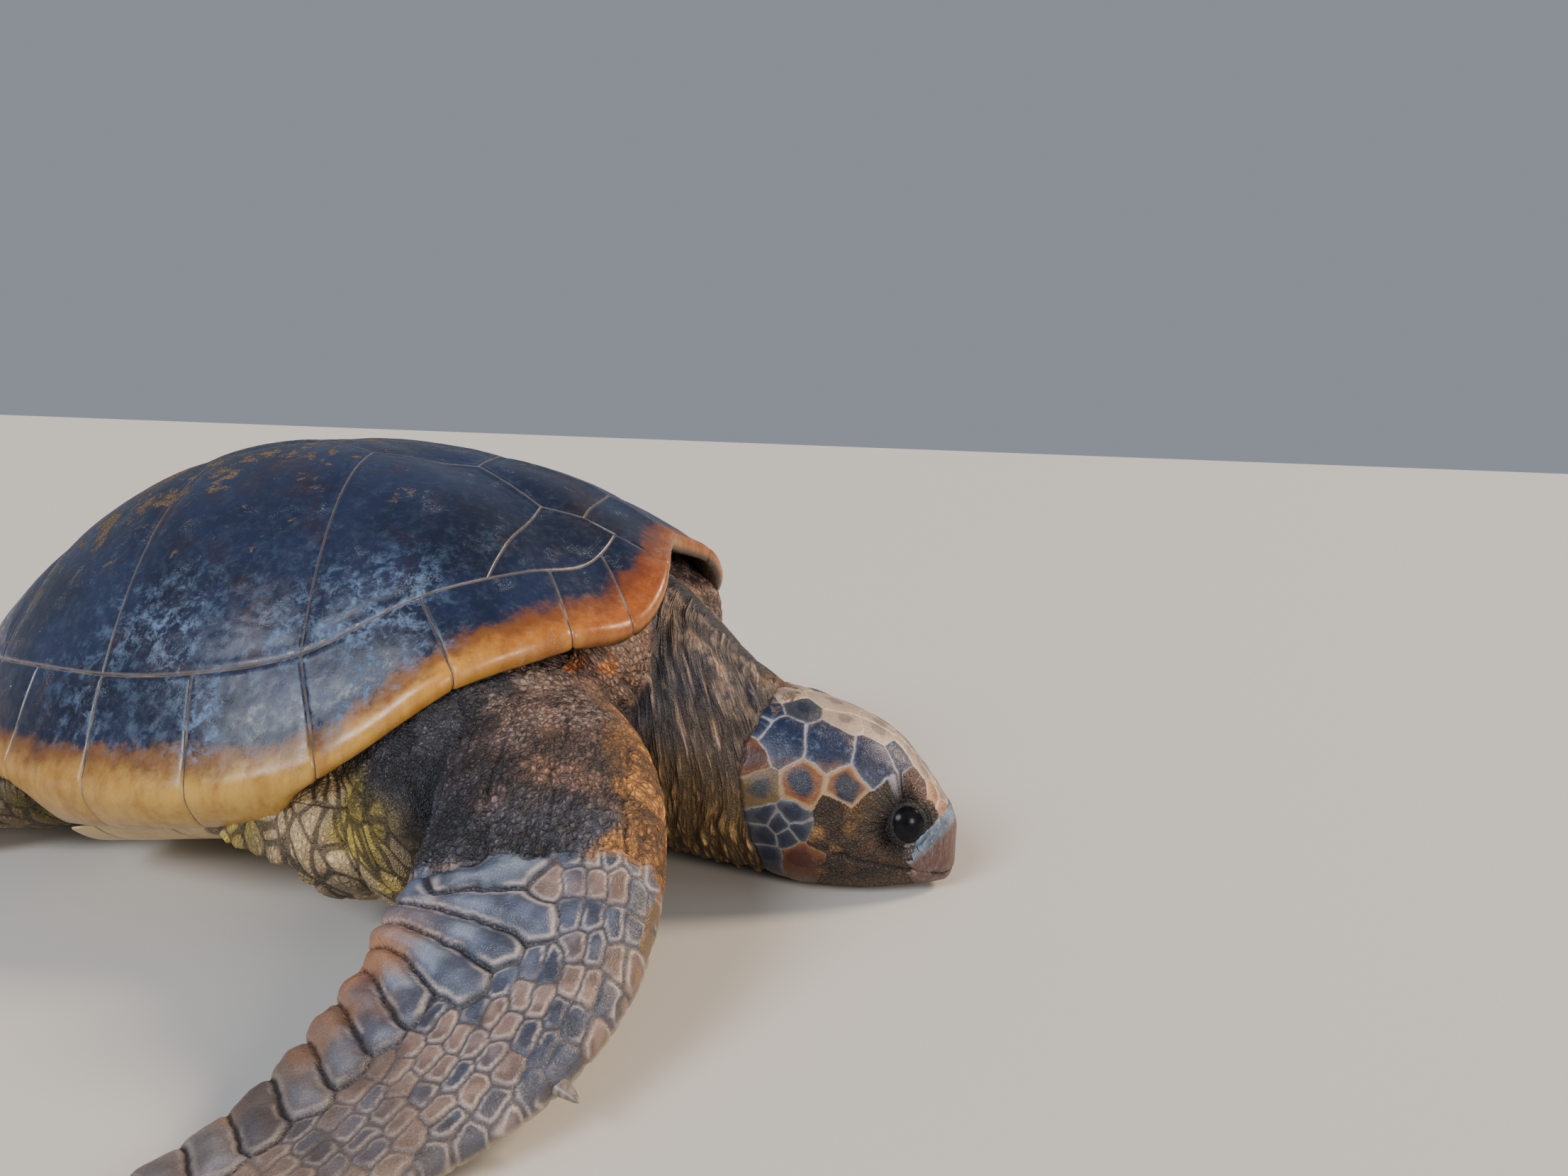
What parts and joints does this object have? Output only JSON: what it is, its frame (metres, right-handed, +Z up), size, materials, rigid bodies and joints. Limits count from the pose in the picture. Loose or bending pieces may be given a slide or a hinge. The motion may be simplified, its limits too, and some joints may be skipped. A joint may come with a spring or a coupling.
{
  "type": "loggerhead sea turtle",
  "caption": "Life-size still model of a loggerhead sea turtle lying on its belly, front raised, fore flippers spread, chin on the ground.",
  "frame": {"origin": "middle of the small flat under the rear of the belly shell on which the turtle rests", "axes": "+X towards the head, +Y to the turtle's left, +Z up"},
  "size_m": [1.1539, 1.3032, 0.3752],
  "materials": {
    "shell_dark": "smooth dark horn",
    "shell_amber": "smooth amber horn",
    "skin": "scaly skin",
    "belly_shell": "smooth pale horn",
    "horn": "worn horn",
    "eye": "wet gloss"
  },
  "bodies": {
    "root": {"arm_left": "skin", "arm_right": "skin", "beak_lower": "horn", "beak_upper": "horn", "claw_left": "horn", "claw_right": "horn", "eye_left": "eye", "eye_right": "eye", "fore_flipper_left": "skin", "fore_flipper_right": "skin", "head": "skin", "hind_flipper_left": "skin", "hind_flipper_right": "skin", "neck": "skin", "plastron": "belly_shell", "scute_costal_left_1": "shell_dark", "scute_costal_left_2": "shell_dark", "scute_costal_left_3": "shell_dark", "scute_costal_left_4": "shell_dark", "scute_costal_left_5": "shell_dark", "scute_costal_right_1": "shell_dark", "scute_costal_right_2": "shell_dark", "scute_costal_right_3": "shell_dark", "scute_costal_right_4": "shell_dark", "scute_costal_right_5": "shell_dark", "scute_marginal_left_01": "shell_amber", "scute_marginal_left_02": "shell_amber", "scute_marginal_left_03": "shell_amber", "scute_marginal_left_04": "shell_amber", "scute_marginal_left_05": "shell_amber", "scute_marginal_left_06": "shell_amber", "scute_marginal_left_07": "shell_amber", "scute_marginal_left_08": "shell_amber", "scute_marginal_left_09": "shell_amber", "scute_marginal_left_10": "shell_amber", "scute_marginal_left_11": "shell_amber", "scute_marginal_left_12": "shell_amber", "scute_marginal_right_01": "shell_amber", "scute_marginal_right_02": "shell_amber", "scute_marginal_right_03": "shell_amber", "scute_marginal_right_04": "shell_amber", "scute_marginal_right_05": "shell_amber", "scute_marginal_right_06": "shell_amber", "scute_marginal_right_07": "shell_amber", "scute_marginal_right_08": "shell_amber", "scute_marginal_right_09": "shell_amber", "scute_marginal_right_10": "shell_amber", "scute_marginal_right_11": "shell_amber", "scute_marginal_right_12": "shell_amber", "scute_nuchal": "shell_dark", "scute_vertebral_1": "shell_dark", "scute_vertebral_2": "shell_dark", "scute_vertebral_3": "shell_dark", "scute_vertebral_4": "shell_dark", "scute_vertebral_5": "shell_dark", "tail": "skin", "thigh_left": "skin", "thigh_right": "skin", "trunk": "skin"}
  },
  "joints": []
}
